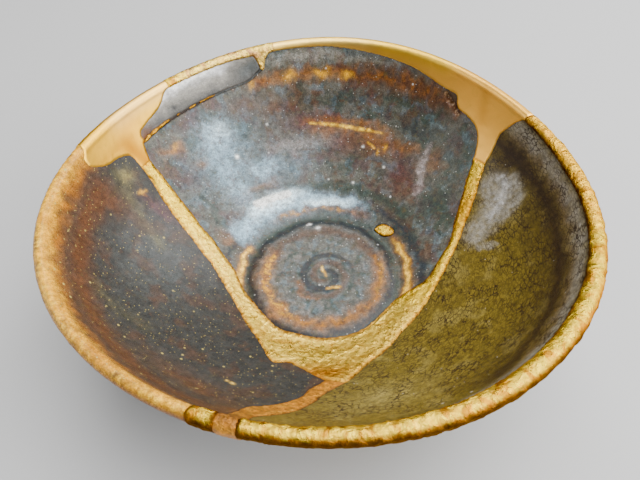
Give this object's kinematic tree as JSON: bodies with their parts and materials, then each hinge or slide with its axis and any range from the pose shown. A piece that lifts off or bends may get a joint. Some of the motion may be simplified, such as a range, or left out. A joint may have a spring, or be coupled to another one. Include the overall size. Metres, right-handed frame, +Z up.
{
  "type": "kintsugi sake cup",
  "caption": "Wide footed sake cup of glazed stoneware, broken and rebuilt from sherds of two pots, with raised gold fills and seams, a gilded lip and an orange lacquer seam.",
  "frame": {"origin": "on the table under the middle of the whole cup, at the height of the foot ring's flat underside", "axes": "+Z up out of the cup, -Y towards the viewer's side with the orange seam, +X to the olive sherd's side"},
  "size_m": [0.0906, 0.0898, 0.0369],
  "materials": {
    "mottled_glaze": "mottled blue-grey and rust-brown glaze, glossy, with a pale blue bloom and fine specks",
    "dark_glaze": "dark brown iron glaze, satin, breaking amber and pale gold at the lip, with fine pale specks",
    "olive_glaze": "olive-brown glaze with a fine dark crackle, glossy",
    "grey_glaze": "silvery grey glaze, glossy, streaked darker towards the crack",
    "satin_gold": "smooth satin gold powder on lacquer, tan where it is worn",
    "rough_gold": "bright gold laid thick on lacquer, lumpy and burnished on its high spots",
    "orange_lacquer": "orange-brown lacquer with a little gold left on it, satin"
  },
  "bodies": {
    "root": {"foot_sherd": "mottled_glaze", "left_sherd": "dark_glaze", "right_sherd": "olive_glaze", "lip_sherd": "grey_glaze", "left_lip_fill": "satin_gold", "right_lip_fill": "satin_gold", "well_seam": "rough_gold", "front_seam": "orange_lacquer", "right_lip_gilding": "rough_gold", "back_lip_gilding": "rough_gold", "front_chip_fill": "rough_gold", "well_chip_fill": "rough_gold"}
  },
  "joints": []
}
